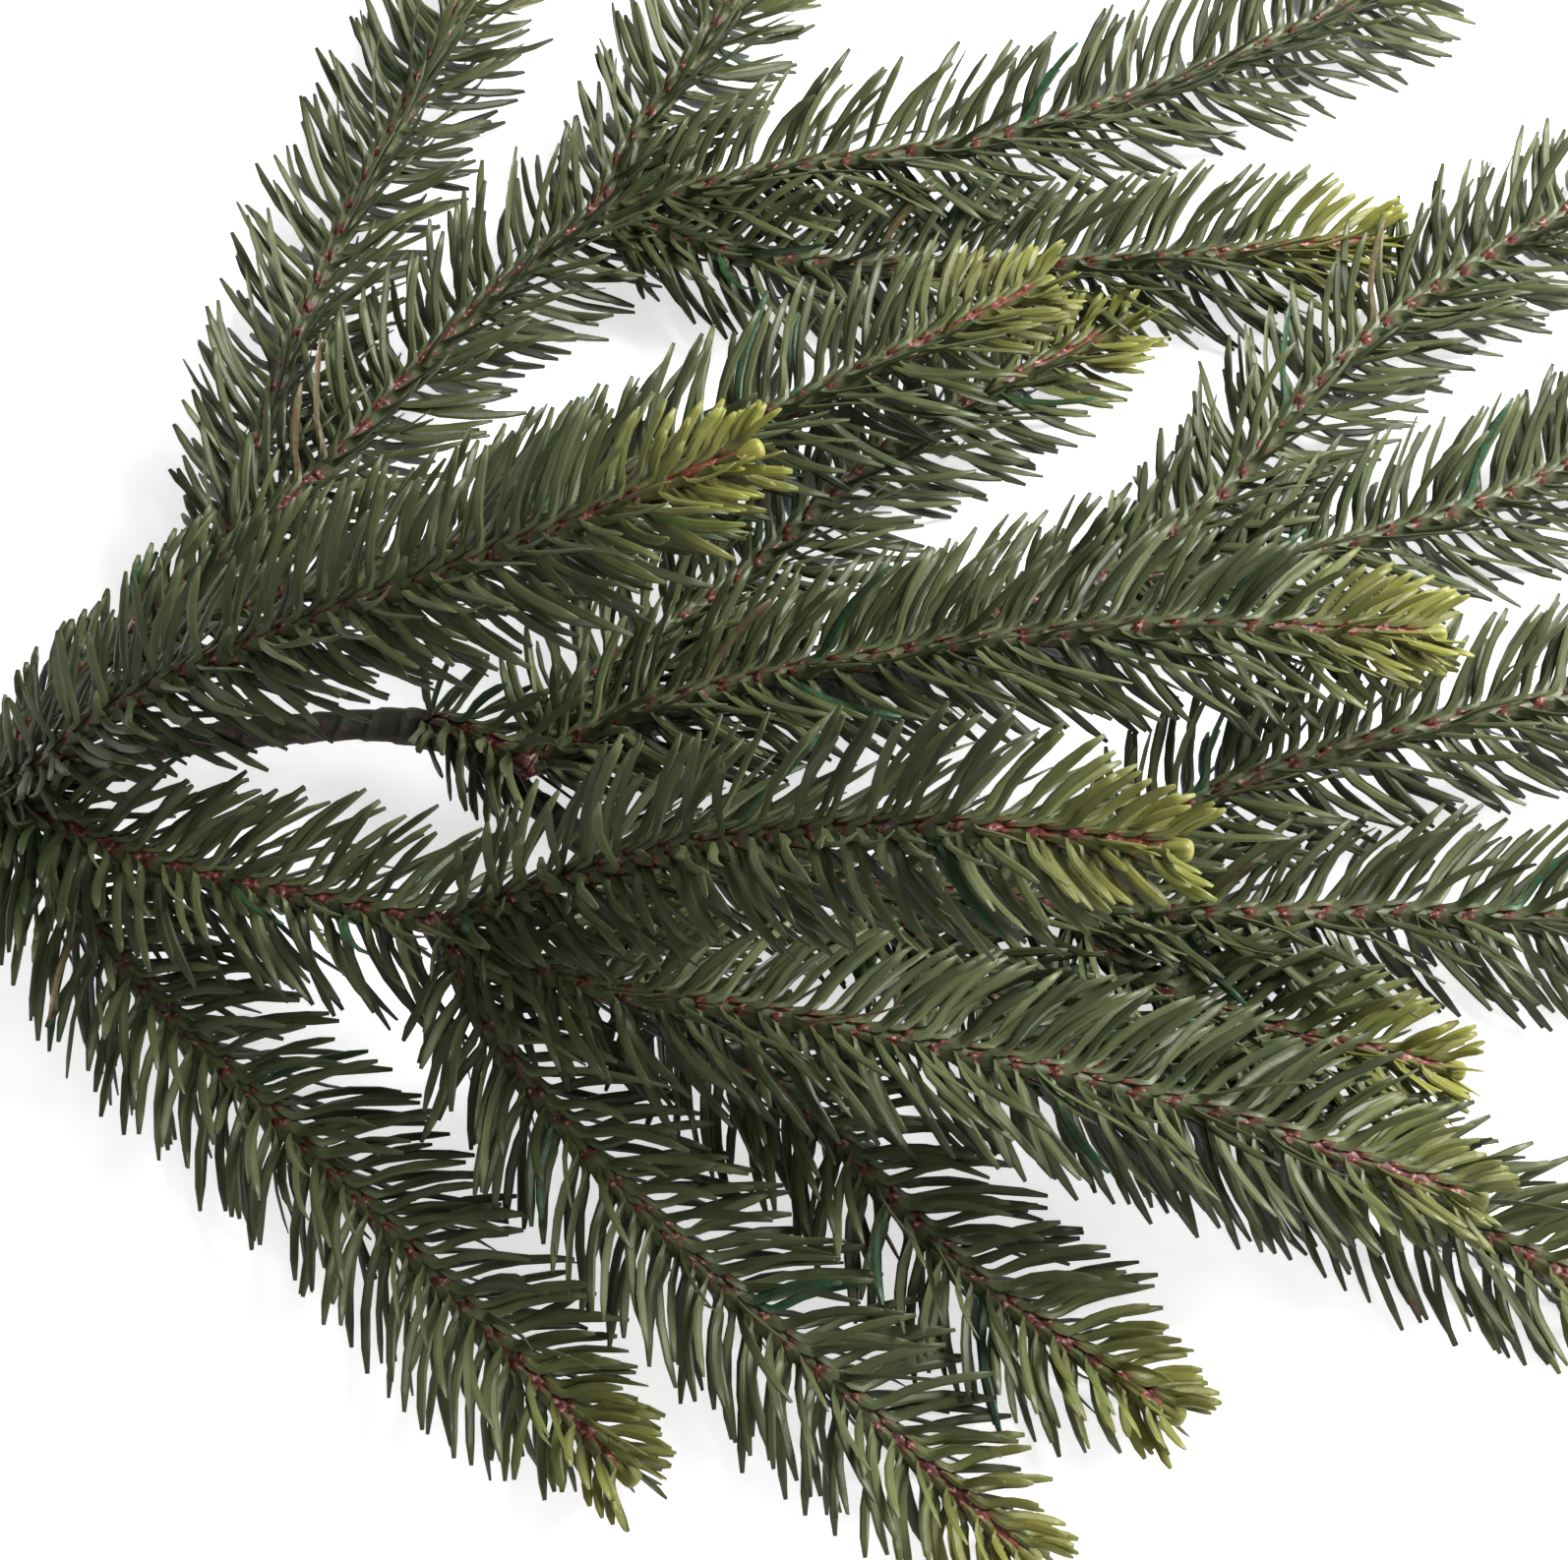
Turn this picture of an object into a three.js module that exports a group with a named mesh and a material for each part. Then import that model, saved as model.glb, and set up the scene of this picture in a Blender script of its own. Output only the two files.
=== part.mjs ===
// An artificial fir branch, moulded in plastic, lying flat on a table.
// Millimetres, +Z up. Z = 0 is the table, and X = Y = 0 is the middle of the spread of twigs.
// A stiff wrapped stem carries four sprigs. Each sprig is a stalk that forks into tips, with
// lone tips beside it. Every stalk and tip bristles with needles, which lean towards its end.

import * as THREE from "three";

// Driving dimensions
const NEEDLE_REACH = 20;
const NEEDLE_LEAN = 13;
const NEEDLE_SPACING = 8.6;
const STALK_NEEDLE_SHARE = 0.95;
const HIDDEN_NEEDLE_SHARE = 0.5;
const TIP_RADIUS = 1.9;
const STALK_RADIUS = 2.3;
const STEM_RADIUS = 3.8;
const KNUCKLE_RADIUS = 3.1;
const BUD_RADIUS = 3.4;
const BUD_LENGTH = 9;
const MESH_GAP = 0.35;
const NEEDLE_CLEARANCE = 3;

// How each kind of stem is moulded. Each ending is a list of rings past the end of the plain stem:
// a knuckle where a stalk forks, and a blunt bud on a tip.
const NEEDLE_ROWS = 5;
const ROW_TURN = 0.17;
const KINDS = {
  stem: { radius: STEM_RADIUS, endRadius: 3.2, sides: 10, spacing: 12, needleShare: 0, ending: [] },
  stalk: {
    radius: STALK_RADIUS, endRadius: 2, sides: NEEDLE_ROWS, spacing: NEEDLE_SPACING,
    needleShare: STALK_NEEDLE_SHARE, bodyEnd: -3,
    ending: [{ past: 2.4, radius: KNUCKLE_RADIUS }, { past: 5.4, radius: KNUCKLE_RADIUS * 0.5 }],
  },
  tip: {
    radius: TIP_RADIUS, endRadius: 1.6, sides: NEEDLE_ROWS, spacing: NEEDLE_SPACING,
    needleShare: 1, bodyEnd: 0,
    ending: [{ past: BUD_LENGTH * 0.35, radius: BUD_RADIUS }, { past: BUD_LENGTH, radius: BUD_RADIUS * 0.6 }],
  },
};

// Every route is a short list of points that the middle of the stem passes through.
// The wrapped stem is one rod, parted where the sprigs leave it. It rises from its cut end on the table.
const STEM_ROUTE = [
  [-253, -55, 4], [-205, -50, 11], [-164, -44, 16], [-141, -39, 17],
  [-119, -31, 17], [-95, -26, 17], [-53, -24, 17], [-30, -40, 17], [-17, -51, 17],
];
const FRONT_JOINT = 115;
const MIDDLE_JOINT = 206;
const WRAPPED_STEM = [
  { name: "stem_lower", kind: "stem", route: STEM_ROUTE, from: 0, to: FRONT_JOINT },
  { name: "stem_middle", kind: "stem", route: STEM_ROUTE, from: FRONT_JOINT + MESH_GAP, to: MIDDLE_JOINT },
  { name: "stem_upper", kind: "stem", route: STEM_ROUTE, from: MIDDLE_JOINT + MESH_GAP },
];

const FRONT_SPRIG = [
  { name: "front_stalk", kind: "stalk",
    route: [[-140, -40, 18], [-124, -49, 27], [-99, -61, 32], [-44, -75, 36]] },
  { name: "front_long_tip", kind: "tip",
    route: [[-44, -75, 36], [-15, -88, 38], [30, -96, 38], [93, -110, 36], [151, -128, 32]] },
  { name: "front_raised_tip", kind: "tip",
    route: [[-44, -75, 36], [-22, -73, 52], [8, -74, 74], [50, -81, 98], [88, -89, 108]] },
  { name: "front_low_tip", kind: "tip",
    route: [[-44, -75, 36], [-30, -100, 29], [-4, -128, 21], [33, -160, 14], [67, -190, 12]] },
  { name: "front_lone_tip_high", kind: "tip",
    route: [[-140, -39, 17], [-125, -40, 35], [-106, -34, 50], [-71, -27, 68], [-27, -19, 86], [16, -6, 98]] },
  { name: "front_lone_tip_low", kind: "tip",
    route: [[-141, -40, 17], [-126, -57, 20], [-101, -85, 17], [-61, -122, 14], [-7, -175, 12]] },
];

const BACK_SPRIG = [
  { name: "back_stalk", kind: "stalk", needleShare: HIDDEN_NEEDLE_SHARE,
    route: [[-141, -39, 17], [-129, -23, 24], [-110, -3, 26], [-95, 11, 26]] },
  { name: "back_inner_stalk", kind: "stalk",
    route: [[-95, 11, 26], [-75, 33, 26], [-47, 72, 24], [-20, 101, 22]] },
  { name: "back_middle_tip", kind: "tip",
    route: [[-20, 101, 22], [23, 111, 24], [70, 121, 22], [126, 146, 18], [190, 185, 15]] },
  { name: "back_left_tip", kind: "tip",
    route: [[-20, 101, 22], [-13, 117, 24], [1, 142, 24], [23, 184, 21]] },
  { name: "back_right_tip", kind: "tip",
    route: [[-20, 101, 22], [20, 91, 18], [58, 91, 15], [101, 93, 14], [157, 99, 14]] },
  { name: "back_lone_tip_far", kind: "tip",
    route: [[-95, 11, 26], [-90, 46, 22], [-77, 101, 17], [-60, 149, 15], [-46, 190, 14]] },
  { name: "back_lone_tip_near", kind: "tip",
    route: [[-115, -9, 26], [-78, -1, 34], [-26, 13, 42], [20, 34, 46], [77, 64, 48]] },
];

const MIDDLE_SPRIG = [
  { name: "middle_stalk", kind: "stalk", route: [[-53, -24, 17], [-44, -28, 26], [-29, -38, 30]] },
  { name: "middle_inner_stalk", kind: "stalk",
    route: [[-29, -38, 30], [2, -23, 22], [43, -7, 18], [90, 10, 18]] },
  { name: "middle_right_tip", kind: "tip",
    route: [[90, 10, 18], [123, 14, 17], [167, 28, 15], [194, 41, 14], [242.5, 70, 14]] },
  { name: "middle_left_tip", kind: "tip",
    route: [[90, 10, 18], [114, 29, 17], [134, 54, 15], [160, 80, 14], [199, 106, 14], [230, 126, 14]] },
  { name: "middle_lone_tip_high", kind: "tip",
    route: [[-29, -38, 30], [-5, -29, 37], [36, -21, 42], [91, -16, 46], [151, -17, 46]] },
  { name: "middle_lone_tip_low", kind: "tip",
    route: [[-29, -38, 30], [-18, -19, 27], [10, 7, 20], [48, 45, 17], [99, 77, 14]] },
];

const END_SPRIG = [
  { name: "end_stalk", kind: "stalk",
    route: [[-17, -51, 17], [15, -55, 17], [42, -60, 18], [78, -64, 18]] },
  { name: "end_middle_tip", kind: "tip",
    route: [[78, -64, 18], [113, -66, 18], [151, -65, 16], [226, -69, 14]] },
  { name: "end_left_tip", kind: "tip",
    route: [[78, -64, 18], [101, -46, 24], [132, -34, 26], [182, -22, 26], [234, -16, 24]] },
  { name: "end_right_tip", kind: "tip",
    route: [[78, -64, 18], [90, -77, 16], [112, -87, 15], [154, -97, 14]] },
  { name: "end_lone_tip_first", kind: "tip",
    route: [[-17, -51, 17], [3, -88, 15], [28, -107, 14], [57, -137, 13], [95, -164, 13]] },
  { name: "end_lone_tip_second", kind: "tip",
    route: [[33, -58, 17], [62, -83, 15], [90, -99, 13], [137, -119, 12], [191, -148, 12]] },
];

const UP = new THREE.Vector3(0, 0, 1);

// The place on a curve that many millimetres from its start, carried on straight past its ends
function placeAlong(curve, distance) {
  const length = curve.getLength();
  const inside = THREE.MathUtils.clamp(distance, 0, length);
  const forward = curve.getTangentAt(inside / length);
  return curve.getPointAt(inside / length).addScaledVector(forward, distance - inside);
}

// A unit vector square to the curve there. Angle 0 points to its left, and a quarter turn points up
function outwardAlong(curve, distance, angle) {
  const length = curve.getLength();
  const forward = curve.getTangentAt(THREE.MathUtils.clamp(distance / length, 0, 1));
  const left = new THREE.Vector3().crossVectors(UP, forward).normalize();
  const top = new THREE.Vector3().crossVectors(forward, left);
  return left.multiplyScalar(Math.cos(angle)).addScaledVector(top, Math.sin(angle));
}

// Points already held by stems and needles, kept in small cubes so that near ones are found fast
const heldCubes = new Map();

function cubeName(x, y, z) {
  return `${x},${y},${z}`;
}

function cubeOf(point) {
  return [point.x, point.y, point.z].map((value) => Math.floor(value / NEEDLE_CLEARANCE));
}

function hold(point, owner) {
  const name = cubeName(...cubeOf(point));
  if (!heldCubes.has(name)) {
    heldCubes.set(name, []);
  }
  heldCubes.get(name).push({ point, owner });
}

function isHeldByAnother(point, owner) {
  const [x, y, z] = cubeOf(point);
  for (const dx of [-1, 0, 1]) {
    for (const dy of [-1, 0, 1]) {
      for (const dz of [-1, 0, 1]) {
        const held = heldCubes.get(cubeName(x + dx, y + dy, z + dz)) ?? [];
        const blocked = held.some((other) => other.owner !== owner
          && other.point.distanceTo(point) < NEEDLE_CLEARANCE);
        if (blocked) {
          return true;
        }
      }
    }
  }
  return false;
}

// A twig starts where a ball as wide as its stem first clears every stem laid out before it
const laidOut = [];
const SEARCH_STEP = 0.5;

function clearStart(curve, radius) {
  const touches = (point) => laidOut.some((other) =>
    other.middle.some((place) => place.distanceTo(point) < other.radius + radius + MESH_GAP));
  let start = 0;
  while (touches(placeAlong(curve, start)) && start < curve.getLength() / 2) {
    start += SEARCH_STEP;
  }
  return start;
}

// Lays out one stem: its curve, where it starts and ends, and the rings of corners along it
function layOut(twig) {
  const kind = KINDS[twig.kind];
  const curve = new THREE.CatmullRomCurve3(
    twig.route.map((place) => new THREE.Vector3(...place)), false, "catmullrom", 0.5);
  const start = twig.from ?? clearStart(curve, kind.radius);
  const end = (twig.to ?? curve.getLength()) + (kind.bodyEnd ?? 0);
  const steps = Math.round((end - start) / kind.spacing);
  const rings = [];
  for (let i = 0; i <= steps; i += 1) {
    rings.push({
      distance: THREE.MathUtils.lerp(start, end, i / steps),
      radius: THREE.MathUtils.lerp(kind.radius, kind.endRadius, i / steps),
      turn: i * ROW_TURN,
    });
  }
  const middle = [];
  for (let distance = start; distance <= end; distance += 1) {
    middle.push(placeAlong(curve, distance));
  }
  laidOut.push({ middle, radius: kind.radius });
  if (twig.kind === "stalk") {
    laidOut.push({ middle: [placeAlong(curve, curve.getLength())], radius: KNUCKLE_RADIUS });
  }
  return { twig, kind, curve, start, end, rings };
}

// Marks the skin of a laid-out stem and its bud as held, so that no needle of another twig enters it
function holdStem(plan) {
  const around = 8;
  const step = 2;
  const past = plan.kind.ending.at(-1)?.past ?? 0;
  for (let distance = plan.start; distance <= plan.end + past; distance += step) {
    const middle = placeAlong(plan.curve, distance);
    const swollen = distance > plan.end - step && past > 0;
    const radius = swollen ? plan.kind.ending[0].radius : plan.kind.radius;
    for (let i = 0; i < around; i += 1) {
      const outward = outwardAlong(plan.curve, distance, (i / around) * 2 * Math.PI);
      hold(middle.clone().addScaledVector(outward, radius), plan.twig.name);
    }
  }
}

// How long the needles are along a twig: short at its foot, full in the middle, shorter at the bud.
// A stalk that other twigs lie over has shorter ones all along
function needleGrowth(plan, distance) {
  const fromFoot = THREE.MathUtils.smoothstep(distance - plan.start, -20, 25);
  const fromEnd = THREE.MathUtils.smoothstep(plan.end - distance, -28, 44);
  const needleShare = plan.twig.needleShare ?? plan.kind.needleShare;
  return needleShare * fromFoot * (plan.twig.kind === "tip" ? fromEnd : 1);
}

// The tip of the needle that grows from the facet after ring i, or null where nothing fits
const LENGTHS_TO_TRY = [1, 0.8, 0.6, 0.42, 0.28];
const UNEVENNESS = 0.09;

function needleTip(plan, i, row) {
  const ring = plan.rings[i];
  const next = plan.rings[i + 1];
  const rootDistance = (ring.distance + next.distance) / 2;
  const angle = ((row + 0.5) / plan.kind.sides) * 2 * Math.PI + (ring.turn + next.turn) / 2;
  const uneven = 1 + UNEVENNESS * Math.sin(i * 12.9 + row * 78.2);
  const halfBase = (next.distance - ring.distance) / 2;
  const root = placeAlong(plan.curve, rootDistance)
    .addScaledVector(outwardAlong(plan.curve, rootDistance, angle), ring.radius);
  for (const share of LENGTHS_TO_TRY) {
    const grown = share * uneven * needleGrowth(plan, rootDistance);
    const lean = NEEDLE_LEAN * share;
    const tip = placeAlong(plan.curve, rootDistance + lean)
      .addScaledVector(outwardAlong(plan.curve, rootDistance + lean, angle), NEEDLE_REACH * grown);
    tip.z = Math.max(tip.z, 0);
    const skin = needleSkin(plan, root, tip, rootDistance, halfBase);
    if (!skin.some((point) => isHeldByAnother(point, plan.twig.name))) {
      skin.forEach((point) => hold(point, plan.twig.name));
      return tip;
    }
  }
  return null;
}

// Points spread over a needle, down its middle and its two edges
function needleSkin(plan, root, tip, rootDistance, halfBase) {
  const forward = placeAlong(plan.curve, rootDistance + 1).sub(placeAlong(plan.curve, rootDistance));
  const skin = [];
  for (let share = 0.12; share <= 1.001; share += 0.11) {
    for (const side of [-1, 0, 1]) {
      const point = root.clone().lerp(tip, share);
      skin.push(point.addScaledVector(forward, side * halfBase * (1 - share)));
    }
  }
  return skin;
}

// Gathers corners and triangles of one solid
class Skin {
  constructor() {
    this.places = [];
    this.faces = [];
  }

  corner(point) {
    this.places.push(point.x, point.y, point.z);
    return this.places.length / 3 - 1;
  }

  face(a, b, c) {
    this.faces.push(a, b, c);
  }

  geometry() {
    const geometry = new THREE.BufferGeometry();
    geometry.setAttribute("position", new THREE.Float32BufferAttribute(this.places, 3));
    geometry.setIndex(this.faces);
    geometry.computeVertexNormals();
    return geometry;
  }
}

function addRing(skin, plan, ring) {
  const corners = [];
  const middle = placeAlong(plan.curve, ring.distance);
  for (let j = 0; j < plan.kind.sides; j += 1) {
    const angle = (j / plan.kind.sides) * 2 * Math.PI + ring.turn;
    const outward = outwardAlong(plan.curve, ring.distance, angle);
    corners.push(skin.corner(middle.clone().addScaledVector(outward, ring.radius)));
  }
  return corners;
}

// The facet between two rings, flat, or drawn out to a needle's tip
function addFacet(skin, near, far, j, tip) {
  const k = (j + 1) % near.length;
  if (tip === null) {
    skin.face(near[j], near[k], far[k]);
    skin.face(near[j], far[k], far[j]);
    return;
  }
  const top = skin.corner(tip);
  skin.face(near[j], near[k], top);
  skin.face(near[k], far[k], top);
  skin.face(far[k], far[j], top);
  skin.face(far[j], near[j], top);
}

function joinRings(skin, near, far) {
  for (let j = 0; j < near.length; j += 1) {
    addFacet(skin, near, far, j, null);
  }
}

function closeEnd(skin, corners, middle, facesBack) {
  const centre = skin.corner(middle);
  corners.forEach((corner, j) => {
    const next = corners[(j + 1) % corners.length];
    if (facesBack) {
      skin.face(centre, next, corner);
    } else {
      skin.face(centre, corner, next);
    }
  });
}

// The foot of a twig is rounded where it meets what it grows from. A rod's is cut square
function addFoot(skin, plan, firstRing) {
  const { start, kind, curve } = plan;
  if (plan.twig.kind === "stem") {
    closeEnd(skin, firstRing, placeAlong(curve, start), true);
    return;
  }
  const narrow = { distance: start - kind.radius * 0.75, radius: kind.radius * 0.62, turn: 0 };
  const corners = addRing(skin, plan, narrow);
  joinRings(skin, corners, firstRing);
  closeEnd(skin, corners, placeAlong(curve, start - kind.radius * 0.97), true);
}

function addEnding(skin, plan, lastRing) {
  const turn = plan.rings.at(-1).turn;
  let last = lastRing;
  let past = 0;
  for (const ring of plan.kind.ending) {
    const corners = addRing(skin, plan, { distance: plan.end + ring.past, radius: ring.radius, turn });
    joinRings(skin, last, corners);
    last = corners;
    past = ring.past;
  }
  closeEnd(skin, last, placeAlong(plan.curve, plan.end + past), false);
}

function buildTwig(plan) {
  const skin = new Skin();
  const rings = plan.rings.map((ring) => addRing(skin, plan, ring));
  addFoot(skin, plan, rings[0]);
  for (let i = 0; i + 1 < rings.length; i += 1) {
    for (let j = 0; j < plan.kind.sides; j += 1) {
      const tip = plan.kind.needleShare > 0 ? needleTip(plan, i, j) : null;
      addFacet(skin, rings[i], rings[i + 1], j, tip);
    }
  }
  addEnding(skin, plan, rings.at(-1));
  const mesh = new THREE.Mesh(skin.geometry(), new THREE.MeshStandardMaterial(FINISHES[plan.twig.kind]));
  mesh.name = plan.twig.name;
  return mesh;
}

const FINISHES = {
  stem: { color: 0x3a3026, roughness: 0.85, metalness: 0 },
  stalk: { color: 0x3c4a30, roughness: 0.55, metalness: 0 },
  tip: { color: 0x4a5a38, roughness: 0.5, metalness: 0 },
};

const branch = new THREE.Group();
const groups = [WRAPPED_STEM, FRONT_SPRIG, BACK_SPRIG, MIDDLE_SPRIG, END_SPRIG];
const plans = groups.map((sprig) => sprig.map(layOut));
plans.flat().forEach(holdStem);
for (const sprig of plans) {
  const group = new THREE.Group();
  for (const plan of sprig) {
    group.add(buildTwig(plan));
  }
  branch.add(group);
}

// The origin lies on the table, under the middle of the whole branch
const middle = new THREE.Box3().setFromObject(branch).getCenter(new THREE.Vector3());
branch.position.set(-middle.x, -middle.y, 0);

export default branch;
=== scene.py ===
import math

import bpy
import numpy as np
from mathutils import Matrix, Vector


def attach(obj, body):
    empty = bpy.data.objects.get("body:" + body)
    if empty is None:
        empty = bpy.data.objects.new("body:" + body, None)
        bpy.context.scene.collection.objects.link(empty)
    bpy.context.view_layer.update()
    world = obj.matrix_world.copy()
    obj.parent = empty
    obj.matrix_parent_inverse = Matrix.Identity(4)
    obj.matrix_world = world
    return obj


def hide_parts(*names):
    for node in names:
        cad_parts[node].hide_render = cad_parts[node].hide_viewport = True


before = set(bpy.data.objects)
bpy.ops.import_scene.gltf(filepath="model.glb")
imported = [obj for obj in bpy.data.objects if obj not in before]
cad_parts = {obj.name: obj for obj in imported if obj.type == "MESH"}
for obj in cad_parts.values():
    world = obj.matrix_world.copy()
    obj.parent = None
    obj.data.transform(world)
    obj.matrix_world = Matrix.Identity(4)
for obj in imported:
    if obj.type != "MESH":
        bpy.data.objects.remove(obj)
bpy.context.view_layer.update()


# The photograph looks down on the branch from in front, at almost three quarters of a right angle
# and from a little over half a metre, so the twigs that rise towards the camera look larger.
MM = 0.001
VIEW_MIDDLE = np.array([22, -37, 20]) * MM
VIEW_DISTANCE = 560 * MM
VIEW_ELEVATION = math.radians(66)
VIEW_WIDTH = 320 * MM
SENSOR_WIDTH = 36
NEAREST_SEEN = 10 * MM
FARTHEST_SEEN = 20

view_direction = np.array([0, -math.cos(VIEW_ELEVATION), math.sin(VIEW_ELEVATION)])
camera_data = bpy.data.cameras.new("photo_camera")
camera_data.sensor_width = SENSOR_WIDTH
camera_data.lens = SENSOR_WIDTH * VIEW_DISTANCE / VIEW_WIDTH
camera_data.clip_start = NEAREST_SEEN
camera_data.clip_end = FARTHEST_SEEN
camera = bpy.data.objects.new("photo_camera", camera_data)
camera.location = VIEW_MIDDLE + view_direction * VIEW_DISTANCE
camera.rotation_euler = (math.pi / 2 - VIEW_ELEVATION, 0, 0)
bpy.context.collection.objects.link(camera)
bpy.context.scene.camera = camera


# The table and the light: a plain white table top, a wide soft light high up on the right behind
# the branch, which throws the soft shadows forward, and a surround that is palest near the table.
TABLE_SIZE = 8.0
TABLE_WHITE = (0.75, 0.75, 0.76, 1)
TABLE_SHADE = (0.73, 0.73, 0.74, 1)
TABLE_GRAIN = 40
GRAIN_STRENGTH = 0.3
TABLE_GLOW = 0.65
WHITE = (1, 1, 1, 1)
HORIZON_STRENGTH = 0.85
SKY_STRENGTH = 0.2
SURROUND_FADE = 0.5


def soft_light(name, place, aim, size, power):
    """A square light of that size in metres at place, turned to face aim."""
    lamp = bpy.data.lights.new(name, "AREA")
    lamp.size = size
    lamp.energy = power
    lamp_object = bpy.data.objects.new(name, lamp)
    lamp_object.location = place
    lamp_object.rotation_euler = (Vector(aim) - Vector(place)).to_track_quat("-Z", "Y").to_euler()
    bpy.context.collection.objects.link(lamp_object)


class Number:
    """A number socket of a shader. Sums, differences and products of numbers add Math nodes."""

    def __init__(self, finish, socket):
        self.finish = finish
        self.socket = socket

    def maths(self, operation, first, second):
        return self.finish.node("ShaderNodeMath", {"operation": operation}, {0: first, 1: second})

    def __add__(self, other):
        return self.maths("ADD", self, other)

    def __radd__(self, other):
        return self.maths("ADD", other, self)

    def __sub__(self, other):
        return self.maths("SUBTRACT", self, other)

    def __rsub__(self, other):
        return self.maths("SUBTRACT", other, self)

    def __mul__(self, other):
        return self.maths("MULTIPLY", self, other)

    def __rmul__(self, other):
        return self.maths("MULTIPLY", other, self)

    def above(self, level):
        return self.maths("GREATER_THAN", self, level)

    def ramp(self, low, high):
        """0 up to low, 1 from high on, and a smooth rise between them."""
        settings = {"interpolation_type": "SMOOTHSTEP"}
        return self.finish.node("ShaderNodeMapRange", settings, {0: self, 1: low, 2: high})


class Finish:
    """One material: its shader, and the nodes that feed it."""

    def __init__(self, name, roughness, specular=0.5):
        self.material = bpy.data.materials.new(name)
        self.material.use_nodes = True
        self.tree = self.material.node_tree
        self.shader = self.tree.nodes["Principled BSDF"]
        self.shader.inputs["Roughness"].default_value = roughness
        self.shader.inputs["Specular IOR Level"].default_value = specular

    def node(self, kind, settings, inputs, output=0):
        """Adds a node of that kind, makes its settings, and then sets or links its inputs."""
        new = self.tree.nodes.new(kind)
        for name, value in settings.items():
            setattr(new, name, value)
        for name, value in inputs.items():
            if isinstance(value, Number):
                self.tree.links.new(value.socket, new.inputs[name])
            else:
                new.inputs[name].default_value = value
        return Number(self, new.outputs[output])

    def feed(self, name, value):
        self.tree.links.new(value.socket, self.shader.inputs[name])

    def attribute(self, name):
        return self.node("ShaderNodeAttribute", {"attribute_name": name}, {}, "Fac")

    def blend(self, factor, first, second):
        """The first colour where the factor is 0 and the second where it is 1."""
        inputs = {"Factor": factor, 6: first, 7: second}
        return self.node("ShaderNodeMix", {"data_type": "RGBA"}, inputs, 2)

    def noise(self, per_metre, detail=3):
        place = self.node("ShaderNodeTexCoord", {}, {}, "Object")
        inputs = {"Vector": place, "Scale": per_metre, "Detail": detail}
        return self.node("ShaderNodeTexNoise", {}, inputs, "Fac")

    def bump(self, height, depth, strength=1.0):
        inputs = {"Height": height, "Distance": depth, "Strength": strength}
        self.feed("Normal", self.node("ShaderNodeBump", {}, inputs, "Normal"))


world = bpy.data.worlds.new("pale_surround")
world.use_nodes = True
world_nodes = world.node_tree.nodes
world_links = world.node_tree.links
direction = world_nodes.new("ShaderNodeTexCoord")
height = world_nodes.new("ShaderNodeSeparateXYZ")
fade = world_nodes.new("ShaderNodeMapRange")
fade.inputs["From Max"].default_value = SURROUND_FADE
fade.inputs["To Min"].default_value = HORIZON_STRENGTH
fade.inputs["To Max"].default_value = SKY_STRENGTH
world_links.new(direction.outputs["Generated"], height.inputs[0])
world_links.new(height.outputs["Z"], fade.inputs["Value"])
world_links.new(fade.outputs[0], world_nodes["Background"].inputs["Strength"])
world_nodes["Background"].inputs["Color"].default_value = WHITE
bpy.context.scene.world = world
bpy.context.scene.view_settings.view_transform = "Standard"
soft_light("high_light", place=(0.60, 0.24, 0.56), aim=(0.10, 0, 0), size=0.5, power=22)
soft_light("front_fill", place=(0.20, -0.80, 0.60), aim=(0.05, -0.05, 0), size=0.8, power=3)

table_finish = Finish("white_table", roughness=0.9)
grain = table_finish.noise(TABLE_GRAIN) * GRAIN_STRENGTH
table_finish.feed("Base Color", table_finish.blend(grain, TABLE_WHITE, TABLE_SHADE))
table_finish.shader.inputs["Emission Color"].default_value = WHITE
table_finish.shader.inputs["Emission Strength"].default_value = TABLE_GLOW
table_mesh = bpy.data.meshes.new("table_top")
half = TABLE_SIZE / 2
table_corners = [(-half, -half, 0), (half, -half, 0), (half, half, 0), (-half, half, 0)]
table_mesh.from_pydata(table_corners, [], [(0, 1, 2, 3)])
table = bpy.data.objects.new("table_top", table_mesh)
table_mesh.materials.append(table_finish.material)
bpy.context.collection.objects.link(table)


# The stem is a stiff steel rod wound in dark brown-green crepe tape, turn over turn. The feet of the
# sprigs are wound in with it, and at its own foot the rod is cut off square.
STEM_ROUTE = [
    (-253, -55, 4), (-205, -50, 11), (-164, -44, 16), (-141, -39, 17),
    (-119, -31, 17), (-95, -26, 17), (-53, -24, 17), (-30, -40, 17), (-17, -51, 17),
]
STEM_RADIUS = 3.6
STEM_END_RADIUS = 3.0
ROD_RADIUS = 2.2
STEM_SIDES = 40
STEM_STEP = 0.55
ROUTE_STEPS = 60
WOUND_FEET = [(-141, -39, 17), (-53, -24, 17)]
WOUND_SWELL = 1.0
WOUND_LENGTH = 9

# The cut end, from the middle of the rod's face outward: four rings of bare rod, two of tape.
CUT_ALONG = [0.0, 0.0, 0.25, 1.3, 1.32, 1.4]
CUT_RADII = [0.5, ROD_RADIUS - 0.2, ROD_RADIUS, ROD_RADIUS, STEM_RADIUS - 0.5, STEM_RADIUS - 0.1]
CUT_TAPE_RINGS = 2

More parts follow.
